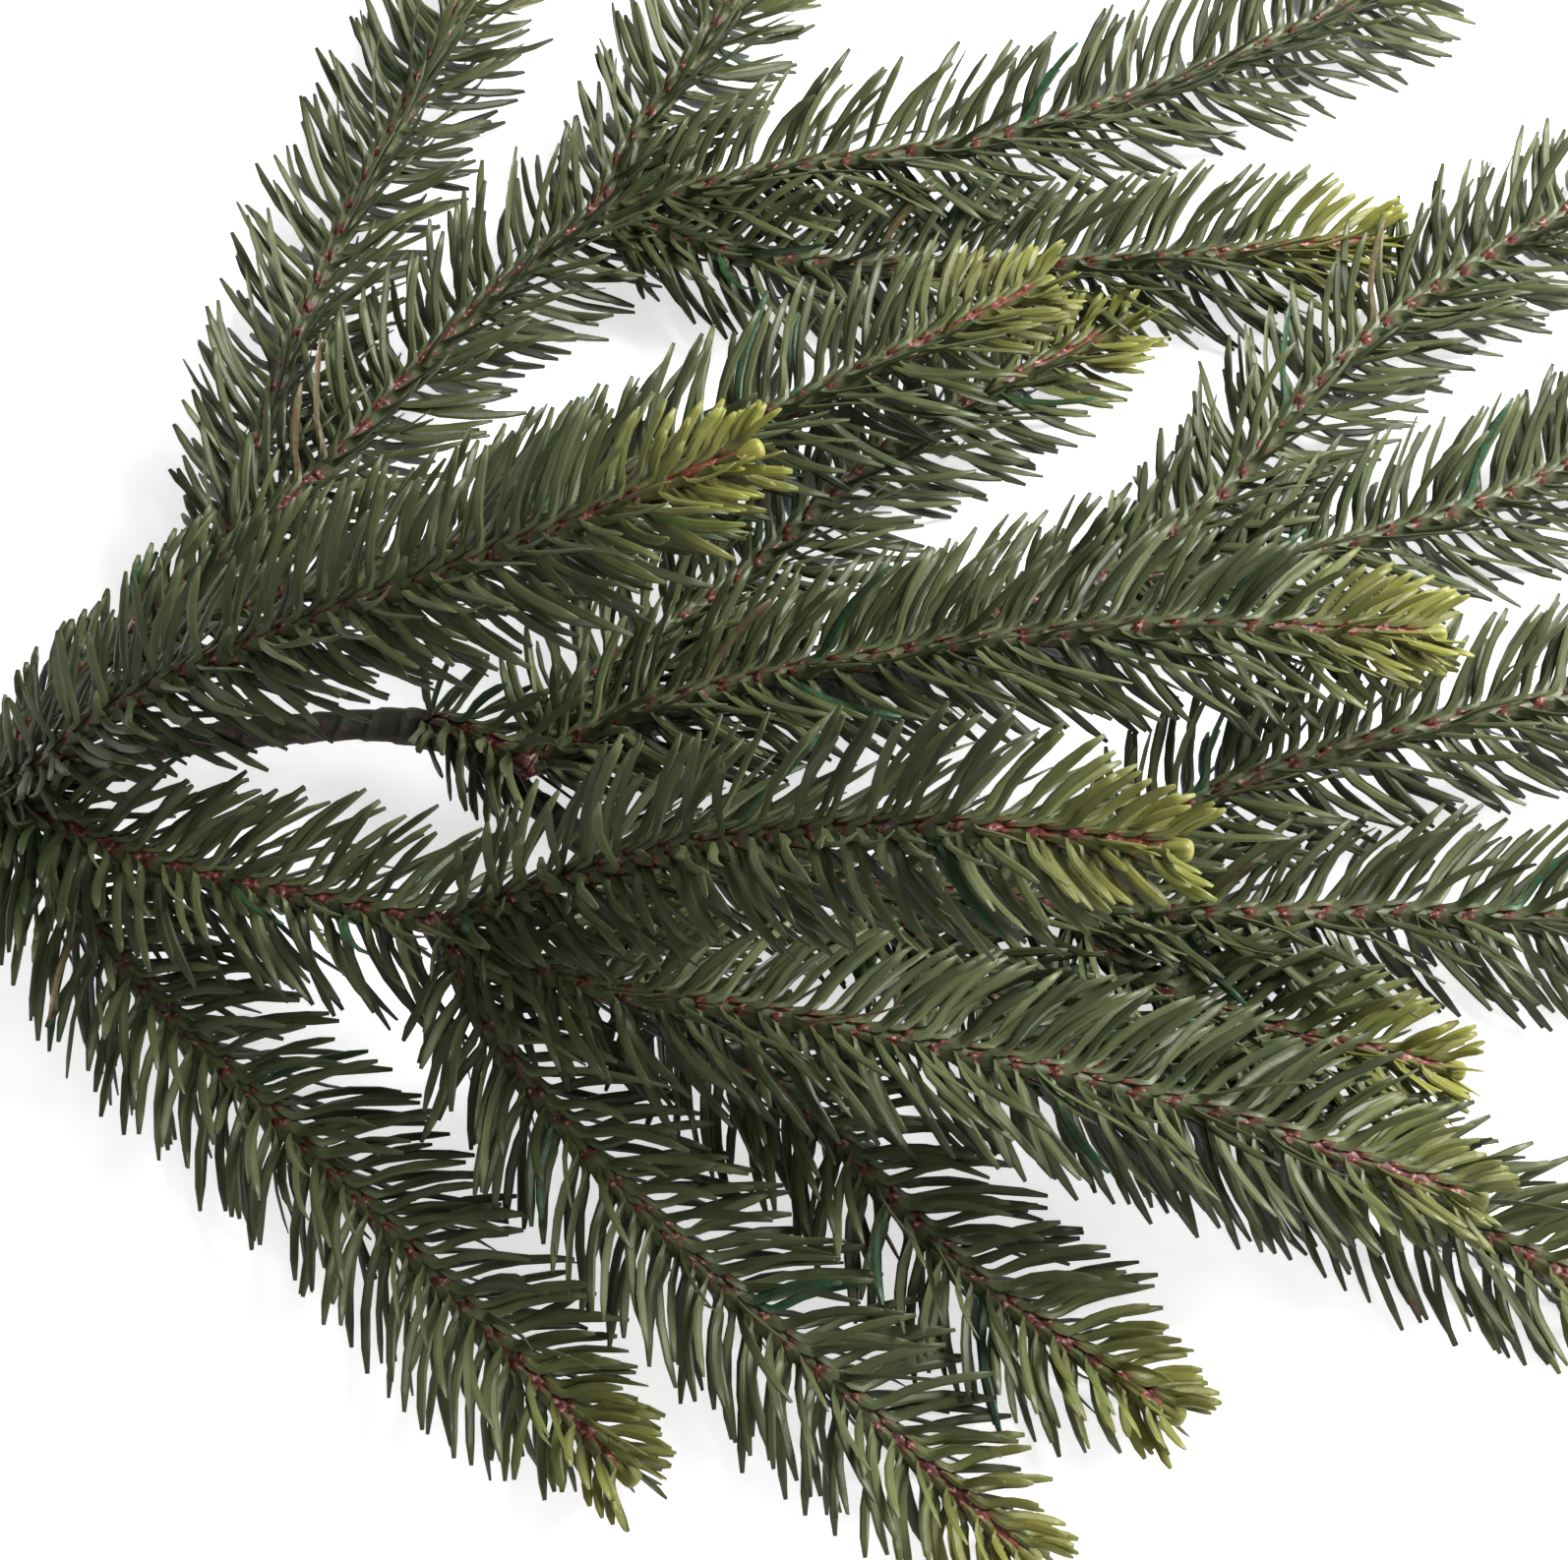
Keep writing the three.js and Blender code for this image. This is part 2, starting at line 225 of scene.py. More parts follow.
# The tape: its laps in millimetres, how far its edge wanders in turns, and its crinkles. A wave is
# its radians for each millimetre along the stem, and its number of crests round it.
TAPE_START = 1.6
TAPE_PITCH = 6.5
TAPE_LAP = 0.42
LAP_RISE = 0.14
LAP_MIDDLE = 0.7
WANDER, WANDER_WAVE = 0.05, (0.31, 2)
SLOW_WANDER, SLOW_WANDER_WAVE = 0.04, (0.13, -1)
CRINKLE_HEIGHT = 0.09
CRINKLE_WAVE = (1.1, 13)
CRINKLE_PATCH_WAVE = (0.7, 5)

ROD_COLOUR = (0.16, 0.15, 0.14, 1)
TAPE_GREEN = (0.020, 0.027, 0.014, 1)
TAPE_BROWN = (0.038, 0.021, 0.019, 1)
TAPE_EDGE = (0.062, 0.070, 0.042, 1)
TAPE_FLECK = (0.13, 0.055, 0.05, 1)
MOTTLE_PER_METRE = 170
FLECKS_PER_METRE = 620
FIBRES_PER_METRE = 1800
FIBRE_HEIGHT = 0.5
TAPE_BUMP = 0.3 * MM

# How the tape's colours blend: the levels of a noise or of the lap between which each comes in,
# and its strength. The rod is smooth metal, and the tape and its mottles are rougher by so much.
MOTTLE_LEVELS = (0.42, 0.6)
EDGE_LEVELS = (0.5, 1.0)
EDGE_STRENGTH = 0.6
FLECK_LEVELS = (0.62, 0.7)
FLECK_STRENGTH = 0.55
ROD_METAL = 0.8
ROD_ROUGHNESS = 0.36
TAPE_ROUGHER = 0.25
MOTTLE_ROUGHER = 0.2


class Route:
    """The middle line of a stem, in millimetres. It passes through a few points, and between two
    of them it is the cubic whose slope at each is half the step from the one before to the next."""

    def __init__(self, points):
        through = np.array(points, float)
        before = 2 * through[0] - through[1]
        after = 2 * through[-1] - through[-2]
        knots = np.vstack([before, through, after])
        slopes = ((knots[2:] - knots[:-2]) / 2)[:, None, :]
        near, far = through[:-1, None, :], through[1:, None, :]
        t = np.linspace(0, 1, ROUTE_STEPS, endpoint=False)[None, :, None]
        fine = ((2 * t**3 - 3 * t**2 + 1) * near + (t**3 - 2 * t**2 + t) * slopes[:-1]
                + (3 * t**2 - 2 * t**3) * far + (t**3 - t**2) * slopes[1:])
        self.fine = np.vstack([fine.reshape(-1, 3), through[-1]])
        steps = np.linalg.norm(np.diff(self.fine, axis=0), axis=1)
        self.distances = np.concatenate([[0], np.cumsum(steps)])
        self.length = self.distances[-1]
        self.slopes = np.gradient(self.fine, self.distances, axis=0)

    def read(self, values, distance):
        return np.stack([np.interp(distance, self.distances, values[:, i]) for i in range(3)], axis=-1)

    def axes(self, distance):
        """Unit vectors forward along the stem, to its left, and square to both, upwards."""
        forward = self.read(self.slopes, distance)
        forward /= np.linalg.norm(forward, axis=-1, keepdims=True)
        left = np.cross([0, 0, 1], forward)
        left /= np.linalg.norm(left, axis=-1, keepdims=True)
        return forward, left, np.cross(forward, left)

    def place(self, distance):
        """The point that far along, carried on straight past either end."""
        distance = np.asarray(distance, float)
        past = distance - np.clip(distance, 0, self.length)
        return self.read(self.fine, distance) + past[..., None] * self.axes(distance)[0]


def ring_surface(rings):
    """Points of a closed skin over a stack of rings, shape (..., rings, sides, 3), and its faces.
    A point at the middle of the first and of the last ring closes the two ends."""
    many, count, sides = rings.shape[:3]
    first = rings[:, 0].mean(axis=1, keepdims=True)
    last = rings[:, -1].mean(axis=1, keepdims=True)
    points = np.concatenate([rings.reshape(many, count * sides, 3), first, last], axis=1)
    ring = np.arange(count - 1)[:, None] * sides
    side = np.arange(sides)[None, :]
    beside = (side + 1) % sides
    quads = np.stack([ring + side, ring + beside, ring + sides + beside, ring + sides + side], axis=-1)
    foot, top = count * sides, count * sides + 1
    side, beside = side[0], beside[0]
    last_ring = (count - 1) * sides
    foot_fan = np.stack([np.full(sides, foot), beside, side], axis=-1)
    top_fan = np.stack([np.full(sides, top), last_ring + side, last_ring + beside], axis=-1)
    shift = (np.arange(many) * (count * sides + 2))[:, None, None]
    quads = (quads.reshape(1, -1, 4) + shift).reshape(-1, 4)
    fans = (np.vstack([foot_fan, top_fan])[None] + shift).reshape(-1, 3)
    return points, quads, fans


def with_ends(values, count, sides):
    """One value for each ring, spread over its points, and at each end point that of its ring."""
    around = np.repeat(values, sides, axis=1)
    return np.concatenate([around, values[:, :1], values[:, -1:]], axis=1)


def make_piece(name, parts, finish, crisp_step=0):
    """One mesh object from parts, each of which is its points in millimetres, its quads, its fans
    of triangles, and a number at each point for each named attribute. The surface is smooth, apart
    from a crisp edge wherever two joined points are numbered crisp_step apart."""
    points = np.concatenate([part["points"].reshape(-1, 3) for part in parts]) * MM
    starts = np.cumsum([0] + [part["points"].size // 3 for part in parts[:-1]])
    quads = np.concatenate([part["quads"] + start for part, start in zip(parts, starts)])
    fans = np.concatenate([part["fans"] + start for part, start in zip(parts, starts)])
    mesh = bpy.data.meshes.new(name)
    mesh.vertices.add(len(points))
    mesh.vertices.foreach_set("co", points.ravel())
    mesh.loops.add(quads.size + fans.size)
    mesh.loops.foreach_set("vertex_index", np.concatenate([quads.ravel(), fans.ravel()]))
    mesh.polygons.add(len(quads) + len(fans))
    quad_starts = np.arange(len(quads)) * 4
    fan_starts = quads.size + np.arange(len(fans)) * 3
    mesh.polygons.foreach_set("loop_start", np.concatenate([quad_starts, fan_starts]))
    mesh.update(calc_edges=True)
    mesh.polygons.foreach_set("use_smooth", np.ones(len(quads) + len(fans), bool))
    if crisp_step:
        ends = np.empty(len(mesh.edges) * 2, np.int32)
        mesh.edges.foreach_get("vertices", ends)
        mesh.edges.foreach_set("use_edge_sharp", np.abs(ends[0::2] - ends[1::2]) == crisp_step)
    for attribute in parts[0]["numbers"]:
        values = np.concatenate([part["numbers"][attribute].ravel() for part in parts])
        mesh.attributes.new(attribute, "FLOAT", "POINT").data.foreach_set("value", values)
    mesh.materials.append(finish.material)
    piece = bpy.data.objects.new(name, mesh)
    bpy.context.collection.objects.link(piece)
    return piece


def wave(distance, angle, along, round_it):
    """A wave that runs along a tube and round it: the sine of along times the distance plus
    round_it times the angle."""
    return np.sin(distance * along + round_it * angle)


def wound_stem(route):
    """A tube over the cut rod. The tape's edge runs round it as a helix: counted in turns,
    t = distance / pitch + angle / 2 pi, and over each turn the radius falls slowly from the lap's
    height to nothing, and then rises sharply over the next edge. Fine crinkles cross the tape, and
    the tube swells where the foot of a sprig is wound in."""
    distance = np.arange(TAPE_START, route.length, STEM_STEP)[:, None]
    angle = (np.arange(STEM_SIDES) / STEM_SIDES * 2 * math.pi)[None, :]
    wander = WANDER * wave(distance, angle, *WANDER_WAVE)
    wander = wander + SLOW_WANDER * wave(distance, angle, *SLOW_WANDER_WAVE)
    turn = (distance / TAPE_PITCH + angle / (2 * math.pi) + wander) % 1
    lap = np.minimum(turn / LAP_RISE, (1 - turn) / (1 - LAP_RISE))
    crinkle = CRINKLE_HEIGHT * wave(distance, angle, *CRINKLE_WAVE)
    crinkle = crinkle * wave(distance, angle, *CRINKLE_PATCH_WAVE)
    radius = STEM_RADIUS + (STEM_END_RADIUS - STEM_RADIUS) * distance / route.length
    for foot in WOUND_FEET:
        nearest = route.distances[np.argmin(np.linalg.norm(route.fine - foot, axis=1))]
        radius = radius + WOUND_SWELL * np.exp(-((distance - nearest) / WOUND_LENGTH) ** 2)
    radius = radius + TAPE_LAP * (lap - LAP_MIDDLE) + crinkle
    cut_radius = np.array(CUT_RADII)[:, None] * np.ones_like(angle)
    distance = np.concatenate([CUT_ALONG, distance[:, 0]])
    radius = np.vstack([cut_radius, radius])
    forward, left, top = route.axes(distance)
    outward = left[:, None] * np.cos(angle)[..., None] + top[:, None] * np.sin(angle)[..., None]
    rings = route.place(distance)[:, None] + outward * radius[..., None]
    points, quads, fans = ring_surface(rings[None])
    cut_rings = len(CUT_ALONG)
    tape = np.ones((cut_rings + len(lap), STEM_SIDES))
    tape[:cut_rings - CUT_TAPE_RINGS] = 0
    edge = np.vstack([np.zeros((cut_rings, STEM_SIDES)), lap])
    tape = np.concatenate([tape.ravel(), [0, 1]])[None]
    edge = np.concatenate([edge.ravel(), [0, 0]])[None]
    return {"points": points, "quads": quads, "fans": fans, "numbers": {"tape": tape, "lap": edge}}


tape_finish = Finish("crepe_tape", roughness=0.7, specular=0.3)
tape = tape_finish.attribute("tape")
lap = tape_finish.attribute("lap")
mottle = tape_finish.noise(MOTTLE_PER_METRE, detail=5)
fleck = tape_finish.noise(FLECKS_PER_METRE, detail=2)
tape_colour = tape_finish.blend(mottle.ramp(*MOTTLE_LEVELS), TAPE_GREEN, TAPE_BROWN)
tape_colour = tape_finish.blend(lap.ramp(*EDGE_LEVELS) * EDGE_STRENGTH, tape_colour, TAPE_EDGE)
flecked = fleck.ramp(*FLECK_LEVELS) * FLECK_STRENGTH
tape_colour = tape_finish.blend(flecked, tape_colour, TAPE_FLECK)
tape_finish.feed("Base Color", tape_finish.blend(tape, ROD_COLOUR, tape_colour))
rougher = ROD_ROUGHNESS + tape * TAPE_ROUGHER + tape * mottle * MOTTLE_ROUGHER
tape_finish.feed("Roughness", rougher)
tape_finish.feed("Metallic", (1 - tape) * ROD_METAL)
tape_finish.bump(fleck + tape_finish.noise(FIBRES_PER_METRE) * FIBRE_HEIGHT, TAPE_BUMP)

stem = make_piece("wound_stem", [wound_stem(Route(STEM_ROUTE))], tape_finish)
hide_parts("stem_lower", "stem_middle", "stem_upper")
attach(stem, "root")


# The front sprig is moulded in one: a thin reddish core over wire, and flat needles whose feet run
# back along it as green ridges. Two lone tips and a stalk leave the stem, and the stalk forks in three.
ROW_PERIOD = 7.6
FOOT_ANGLES = np.radians([0, 30, 58, 124, 150, 180, 222, 270, 318])
BLADE_ANGLES = np.radians([-12, 18, 50, 130, 162, 192, 226, 270, 314])
ROW_OFFSETS = np.array([0.0, 0.55, 0.15, 0.25, 0.75, 0.45, 0.85, 0.3, 0.7])
FIRST_NEEDLE = 2.5
BUD_CLEARANCE = 1.6
TWIN_SHARE = 0.58
BUD_CROWDING = 0.55
BUD_CROWD_LENGTH = 18
NEEDLE_SIDES = 6
NEEDLE_REACH = 21.2
NEEDLE_LEAN = 13.5
BUD_NEEDLE_REACH = 7.2
BUD_NEEDLE_LEAN = 6.6
FULL_SIZE_RANGE = (-6, 46)
FIRST_NEEDLE_SIZE = 0.55
GROWTH_START = -14
PATH_TABLE_GAP = 0.35
NEEDLE_TABLE_GAP = 0.105

# How uneven the moulding is: the spread of each measure from needle to needle, in millimetres, in
# radians or as a share, and how a twin differs from the needle that it shares its foot with.
ROOT_SPREAD = 0.45
SIZE_SPREAD = 0.07
ANGLE_SPREAD = 0.19
LEAN_SPREAD = 2.0
BUD_LEAN_EVENNESS = 0.65
ROLL_SPREAD = 0.35
CURL_SPREAD = 0.07
CUSHION_SIZE = 1.03
CUSHION_SPREAD = 0.16
TWIN_ANGLE = 0.17
TWIN_LEAN = 3.2
TWIN_SHORTER = 0.1

# A needle's path: where each station lies along the twig and out from its middle line. The foot
# keeps its size in millimetres, and the free blade is drawn out to the needle's lean and reach.
FOOT_ALONG = np.array([-6.6, -4.0, -1.6, -0.3])
FOOT_OUT = np.array([1.0, 1.85, 2.15, 2.75])
BLADE_ALONG = np.array([0.08, 0.23, 0.48, 0.78, 1.0])
BLADE_OUT = np.array([0.12, 0.34, 0.60, 0.84, 1.0])
HALF_WIDTH = np.array([0.3, 1.1, 1.42, 1.25, 0.98, 0.95, 0.98, 0.88, 0.4])
HALF_DEPTH = np.array([0.2, 0.55, 0.75, 0.75, 0.55, 0.4, 0.34, 0.28, 0.12])
TURN_OVER = np.array([0, 0, 0, 0.3, 0.75, 1, 1, 1, 1])
FOOT_TO_BLADE = (0.3, 0.6)

# Towards the bud the feet get slimmer and the needles glow yellow, most in their blades. The lower
# a needle points, the darker it is painted: painted shade that stands in for the shade of the twig.
SLIM_FOOT = 0.4
SLIM_RANGE = (5, 45)
GLOW_RANGE = (2, 42)
FOOT_GLOW = 0.4
GLOWING_BLADE = (0.3, 0.9)
PAINTED_SHADE_LEVEL = 0.15


def smooth(values, low, high):
    """0 up to low, 1 from high on, and 3t^2 - 2t^3 between them."""
    t = np.clip((values - low) / (high - low), 0, 1)
    return t * t * (3 - 2 * t)


def needle_layout(length, reach_share, has_bud, grown_at, chance):
    """Where every needle stands: each row repeats along the twig with its own offset, and some
    needles get a twin from the same foot. Near the bud they shorten, lean forward and crowd
    together: the distance u a row has counted off from the end becomes u - k l (1 - exp(-u / l)),
    for a crowding k over a length l."""
    roots, feet, blades = [], [], []
    for foot, blade, offset in zip(FOOT_ANGLES, BLADE_ANGLES, ROW_OFFSETS):
        spare = BUD_CROWDING * BUD_CROWD_LENGTH if has_bud else 0
        row_end = length + spare - FIRST_NEEDLE
        row = np.arange(BUD_CLEARANCE + offset * ROW_PERIOD, row_end, ROW_PERIOD)
        row = row - spare * (1 - np.exp(-row / BUD_CROWD_LENGTH))
        roots.append(length - row + chance.normal(0, ROOT_SPREAD, len(row)))
        feet.append(np.full(len(row), foot))
        blades.append(np.full(len(row), blade))
    root, foot, blade = (np.concatenate(values) for values in (roots, feet, blades))
    twins = np.flatnonzero(chance.random(len(root)) < TWIN_SHARE)
    spread = np.concatenate([np.zeros(len(root)), chance.choice([-1, 1], len(twins))])
    root = np.concatenate([root, root[twins]])
    foot = np.concatenate([foot, foot[twins]])
    blade = np.concatenate([blade, blade[twins]])
    count = len(root)
    from_end = length - root
    full = smooth(from_end, *FULL_SIZE_RANGE) if has_bud else np.ones(count)
    grown = smooth(root - FIRST_NEEDLE, GROWTH_START, grown_at)
    reach = BUD_NEEDLE_REACH + (NEEDLE_REACH * reach_share - BUD_NEEDLE_REACH) * full
    lean = BUD_NEEDLE_LEAN + (NEEDLE_LEAN * reach_share**0.5 - BUD_NEEDLE_LEAN) * full
    size = FIRST_NEEDLE_SIZE + (1 - FIRST_NEEDLE_SIZE) * grown
    size = size * chance.normal(1, SIZE_SPREAD, count)
    blade = blade + chance.normal(0, ANGLE_SPREAD, count) + spread * TWIN_ANGLE
    uneven_lean = chance.normal(0, LEAN_SPREAD, count) + spread * TWIN_LEAN
    evenness = 1 - BUD_LEAN_EVENNESS * (1 - full)
    return {
        "root": root,
        "foot": foot,
        "blade": blade,
        "reach": reach * size * (1 - TWIN_SHORTER * np.abs(spread)),
        "lean": lean * size + uneven_lean * evenness,
        "roll": math.pi / 2 + chance.normal(0, ROLL_SPREAD, count),
        "curl": chance.normal(0, CURL_SPREAD, count),
        "cushion": chance.normal(CUSHION_SIZE, CUSHION_SPREAD, count),
        "from_end": from_end,
        "chance": chance.random(count),
    }


def needle_surface(route, layout, glow):
    """A flattened six-sided shell along each needle's path. The path lies in the plane of the twig
    and the needle's angle round it, and that angle eases from the foot's to the blade's. The shell
    is wide around the twig at the foot and turns over to be wide along the twig in the blade."""
    count = len(layout["root"])
    column = {name: values[:, None] for name, values in layout.items()}
    free = column["reach"] - FOOT_OUT[-1]
    along = np.hstack([np.tile(FOOT_ALONG, (count, 1)), BLADE_ALONG * column["lean"]])
    out = np.hstack([np.tile(FOOT_OUT, (count, 1)), FOOT_OUT[-1] + BLADE_OUT * free])
    share = np.linspace(0, 1, along.shape[1])
    ease = smooth(share, *FOOT_TO_BLADE)
    angle = column["foot"] + (column["blade"] - column["foot"]) * ease
    angle = angle + column["curl"] * share**2 * 2
    forward, left, top = (axis[:, None, :] for axis in route.axes(layout["root"]))
    outward = left * np.cos(angle)[..., None] + top * np.sin(angle)[..., None]
    around = top * np.cos(angle)[..., None] - left * np.sin(angle)[..., None]
    middle = route.place(layout["root"])[:, None] + forward * along[..., None]
    middle = middle + outward * out[..., None]
    middle[..., 2] = np.maximum(middle[..., 2], PATH_TABLE_GAP + HALF_DEPTH)
    path = np.gradient(middle, axis=1)
    path /= np.linalg.norm(path, axis=-1, keepdims=True)
    around = around - path * np.sum(around * path, axis=-1, keepdims=True)
    around /= np.linalg.norm(around, axis=-1, keepdims=True)
    beside = np.cross(path, around)
    roll = (column["roll"] * TURN_OVER)[..., None]
    wide = around * np.cos(roll) + beside * np.sin(roll)
    deep = np.cross(path, wide)
    turn = np.arange(NEEDLE_SIDES) / NEEDLE_SIDES * 2 * math.pi
    near_bud = (1 - smooth(column["from_end"], *SLIM_RANGE)) * (glow > 0)
    slim = 1 - SLIM_FOOT * near_bud * (1 - TURN_OVER)
    cushion = 1 + (column["cushion"] - 1) * (1 - TURN_OVER)
    across = (HALF_WIDTH * slim * cushion)[..., None, None] * np.cos(turn)[None, None, :, None]
    through = HALF_DEPTH[None, :, None, None] * np.sin(turn)[None, None, :, None]
    rings = middle[:, :, None] + wide[:, :, None] * across + deep[:, :, None] * through
    rings[..., 2] = np.maximum(rings[..., 2], NEEDLE_TABLE_GAP)
    points, quads, fans = ring_surface(rings)
    stations = np.tile(share, (count, 1))
    yellow = glow * (1 - smooth(column["from_end"], *GLOW_RANGE))
    yellow = yellow * (FOOT_GLOW + (1 - FOOT_GLOW) * smooth(stations, *GLOWING_BLADE))
    every = np.ones_like(stations)
    # Painted shade: the lower a needle points, the more its colour is darkened.
    painted_shade = np.clip(PAINTED_SHADE_LEVEL - np.sin(angle), 0, 1)
    numbers = {"along_needle": stations, "bud_glow": yellow, "chance": column["chance"] * every,
               "bark": 0 * every, "painted_shade": painted_shade}
    numbers = {name: with_ends(values, len(share), NEEDLE_SIDES) for name, values in numbers.items()}
    return {"points": points, "quads": quads, "fans": fans, "numbers": numbers}


# The core: a thin tube with small lumps, a knuckle at a stalk's fork, and spots of red bark. A
# tip's spots swell a little, and their strength changes slowly from one to the next.
CORE_RADIUS = 1.6
STALK_CORE_RADIUS = 2.0
CORE_SIDES = 14
CORE_STEP = 1.6
LUMP_HEIGHT = 0.09
LUMP_WAVE = (1.7, 2)
LUMP_PATCH_WAVE = (0.6, -1)
KNUCKLE_SWELL = 0.12
KNUCKLE_START = 9
KNUCKLE_LENGTH = 2.2
CLOSED_SHARE = 0.02
END_STEP = 0.01
SPOT_PLACE = 3.1
SPOT_SWELL = 0.3
SPOT_EDGE = 0.6
SPOT_STRENGTH = 0.75
SPOT_VARIETY = 0.35
SPOT_WAVES = (0.41, 0.17)
BARE_END_RANGE = (27, 42)
CORE_GLOW = 0.6
CORE_GLOW_RANGE = (4, 22)
# Painted shade on the core: a little on a tip's, more all along a stalk's, and most in a stalk's fork.
TIP_CORE_PAINTED_SHADE = 0.1
STALK_CORE_PAINTED_SHADE = 0.45
FORK_PAINTED_SHADE = 0.4
FORK_RANGE = (1, 9)
CORE_PLACE_ON_NEEDLE = 0.25
CORE_CHANCE = 0.5


def core_surface(route, is_tip, glow):
    """The twig's core: a thin tube along its route, a little lumpy, closed at both ends. A stalk's
    swells at its fork into a rounded knuckle, by a share of its radius. Its red bark shows all
    along a stalk and at a tip's end, and further back only in a spot for each row period."""
    radius = CORE_RADIUS if is_tip else STALK_CORE_RADIUS
    past = 0 if is_tip else KNUCKLE_LENGTH
    distance = np.linspace(0, route.length + past, int((route.length + past) / CORE_STEP))
    angle = (np.arange(CORE_SIDES) / CORE_SIDES * 2 * math.pi)[None, :]
    knuckle = 0 if is_tip else KNUCKLE_SWELL
    swelling = 1 + knuckle * smooth(distance, route.length - KNUCKLE_START, route.length)[:, None]
    closed = smooth(distance, route.length, route.length + past + END_STEP)[:, None]
    closing = np.sqrt(1 + CLOSED_SHARE - closed**2)
    column = distance[:, None]
    lumps = LUMP_HEIGHT * wave(column, angle, *LUMP_WAVE) * wave(column, angle, *LUMP_PATCH_WAVE)
    from_end = route.length - distance
    spots = smooth(np.cos(2 * math.pi * (from_end - SPOT_PLACE) / ROW_PERIOD), 0, SPOT_EDGE)
    variety = np.sin(from_end * SPOT_WAVES[0]) * np.sin(from_end * SPOT_WAVES[1] + 1)
    spots = spots * (SPOT_STRENGTH + SPOT_VARIETY * variety)
    spot_swell = SPOT_SWELL if is_tip else 0
    lumps = (1 + lumps) * swelling * closing + spot_swell * spots[:, None] * closing
    forward, left, top = route.axes(distance)
    outward = left[:, None] * np.cos(angle)[..., None] + top[:, None] * np.sin(angle)[..., None]
    rings = route.place(distance)[:, None] + outward * (radius * lumps)[..., None]
    points, quads, fans = ring_surface(rings[None])
    from_end, spots = from_end[None], spots[None]
    yellow = glow * CORE_GLOW * (1 - smooth(from_end, *CORE_GLOW_RANGE))
    every = np.ones_like(from_end)
    bare = 1 - smooth(from_end, *BARE_END_RANGE) if is_tip else every
    in_fork = 1 - smooth(from_end, *FORK_RANGE)
    # Painted shade: the core's colour is darkened, most in the fork of a stalk.
    painted_shade = TIP_CORE_PAINTED_SHADE * every if is_tip else STALK_CORE_PAINTED_SHADE + FORK_PAINTED_SHADE * in_fork
    numbers = {"along_needle": CORE_PLACE_ON_NEEDLE * every, "bud_glow": yellow,
               "chance": CORE_CHANCE * every, "bark": np.maximum(spots, bare), "painted_shade": painted_shade}
    numbers = {name: with_ends(values, len(distance), CORE_SIDES) for name, values in numbers.items()}
    return {"points": points, "quads": quads, "fans": fans, "numbers": numbers}


# The bud: a barrel of five lobes that laps over the end of the core.
BUD_LENGTH = 8
BUD_OVERLAP = 5.5
BUD_RADIUS = 2.1
BUD_FOOT_SHARE = 0.55
BUD_FULL_AT = 0.45
BUD_BLUNTNESS = 16
BUD_SIDES = 30
BUD_RINGS = 14
RING_CROWDING = 1.7
BUD_LOBES = 5
LOBE_TWIST = 0.9
GROOVE_DEPTH = 0.22
BUD_FOOT_GLOW = 0.55
BUD_GLOW_RISE = 0.6
BUD_PLACE_ON_NEEDLE = 0.5
BUD_CHANCE = 0.4


def bud_surface(route, glow):
    """A blunt bud on the twig's end: a barrel that swells from the core and closes nearly flat, with
    a narrow groove between each two of the young needles pressed together in it."""
    share = 1 - (1 - np.linspace(0, 1, BUD_RINGS)) ** RING_CROWDING
    distance = route.length - BUD_OVERLAP + BUD_LENGTH * share
    profile = BUD_FOOT_SHARE + (1 - BUD_FOOT_SHARE) * smooth(share, 0, BUD_FULL_AT)
    profile = BUD_RADIUS * profile * np.sqrt(np.clip(1 - share**BUD_BLUNTNESS, CLOSED_SHARE, 1))
    angle = (np.arange(BUD_SIDES) / BUD_SIDES * 2 * math.pi)[None, :]
    lobes = np.abs(np.sin(angle * BUD_LOBES / 2 + share[:, None] * LOBE_TWIST))
    flutes = 1 - GROOVE_DEPTH * (1 - lobes) ** 2
    forward, left, top = route.axes(distance)
    outward = left[:, None] * np.cos(angle)[..., None] + top[:, None] * np.sin(angle)[..., None]
    rings = route.place(distance)[:, None] + outward * (profile[:, None] * flutes)[..., None]
    points, quads, fans = ring_surface(rings[None])
    every = np.ones((1, BUD_RINGS))
    yellow = glow * (BUD_FOOT_GLOW + BUD_GLOW_RISE * share[None])
    numbers = {"along_needle": BUD_PLACE_ON_NEEDLE * every, "bud_glow": yellow,
               "chance": BUD_CHANCE * every, "bark": 0 * every, "painted_shade": 0 * every}
    numbers = {name: with_ends(values, BUD_RINGS, BUD_SIDES) for name, values in numbers.items()}
    return {"points": points, "quads": quads, "fans": fans, "numbers": numbers}


DARK_GREEN = (0.015, 0.020, 0.005, 1)
MID_GREEN = (0.096, 0.112, 0.046, 1)
FOOT_GREEN = (0.066, 0.082, 0.038, 1)
POINT_GREEN = (0.020, 0.024, 0.012, 1)
RUSTY_NEEDLE = (0.09, 0.032, 0.02, 1)
RUSTY_SHARE = 0.006
TEAL_NEEDLE = (0.012, 0.075, 0.036, 1)
TEAL_SHARE = 0.015
BUD_YELLOW = (0.22, 0.215, 0.035, 1)
BARK_BROWN = (0.045, 0.010, 0.009, 1)
BARK_RED = (0.17, 0.040, 0.036, 1)
# Painted highlights: the pale pink of the specks on the red bark.
BARK_PAINTED_HIGHLIGHT = (0.48, 0.29, 0.27, 1)
BARK_BY_BUD = (0.36, 0.12, 0.04, 1)
# Painted shade: the near-black green that shaded parts are darkened towards.
PAINTED_SHADE_COLOUR = (0.007, 0.009, 0.003, 1)
CLOUDS_PER_METRE = 90
GRAINS_PER_METRE = 900
NEEDLE_BUMP = 0.12 * MM
BUMP_STRENGTH = 0.6

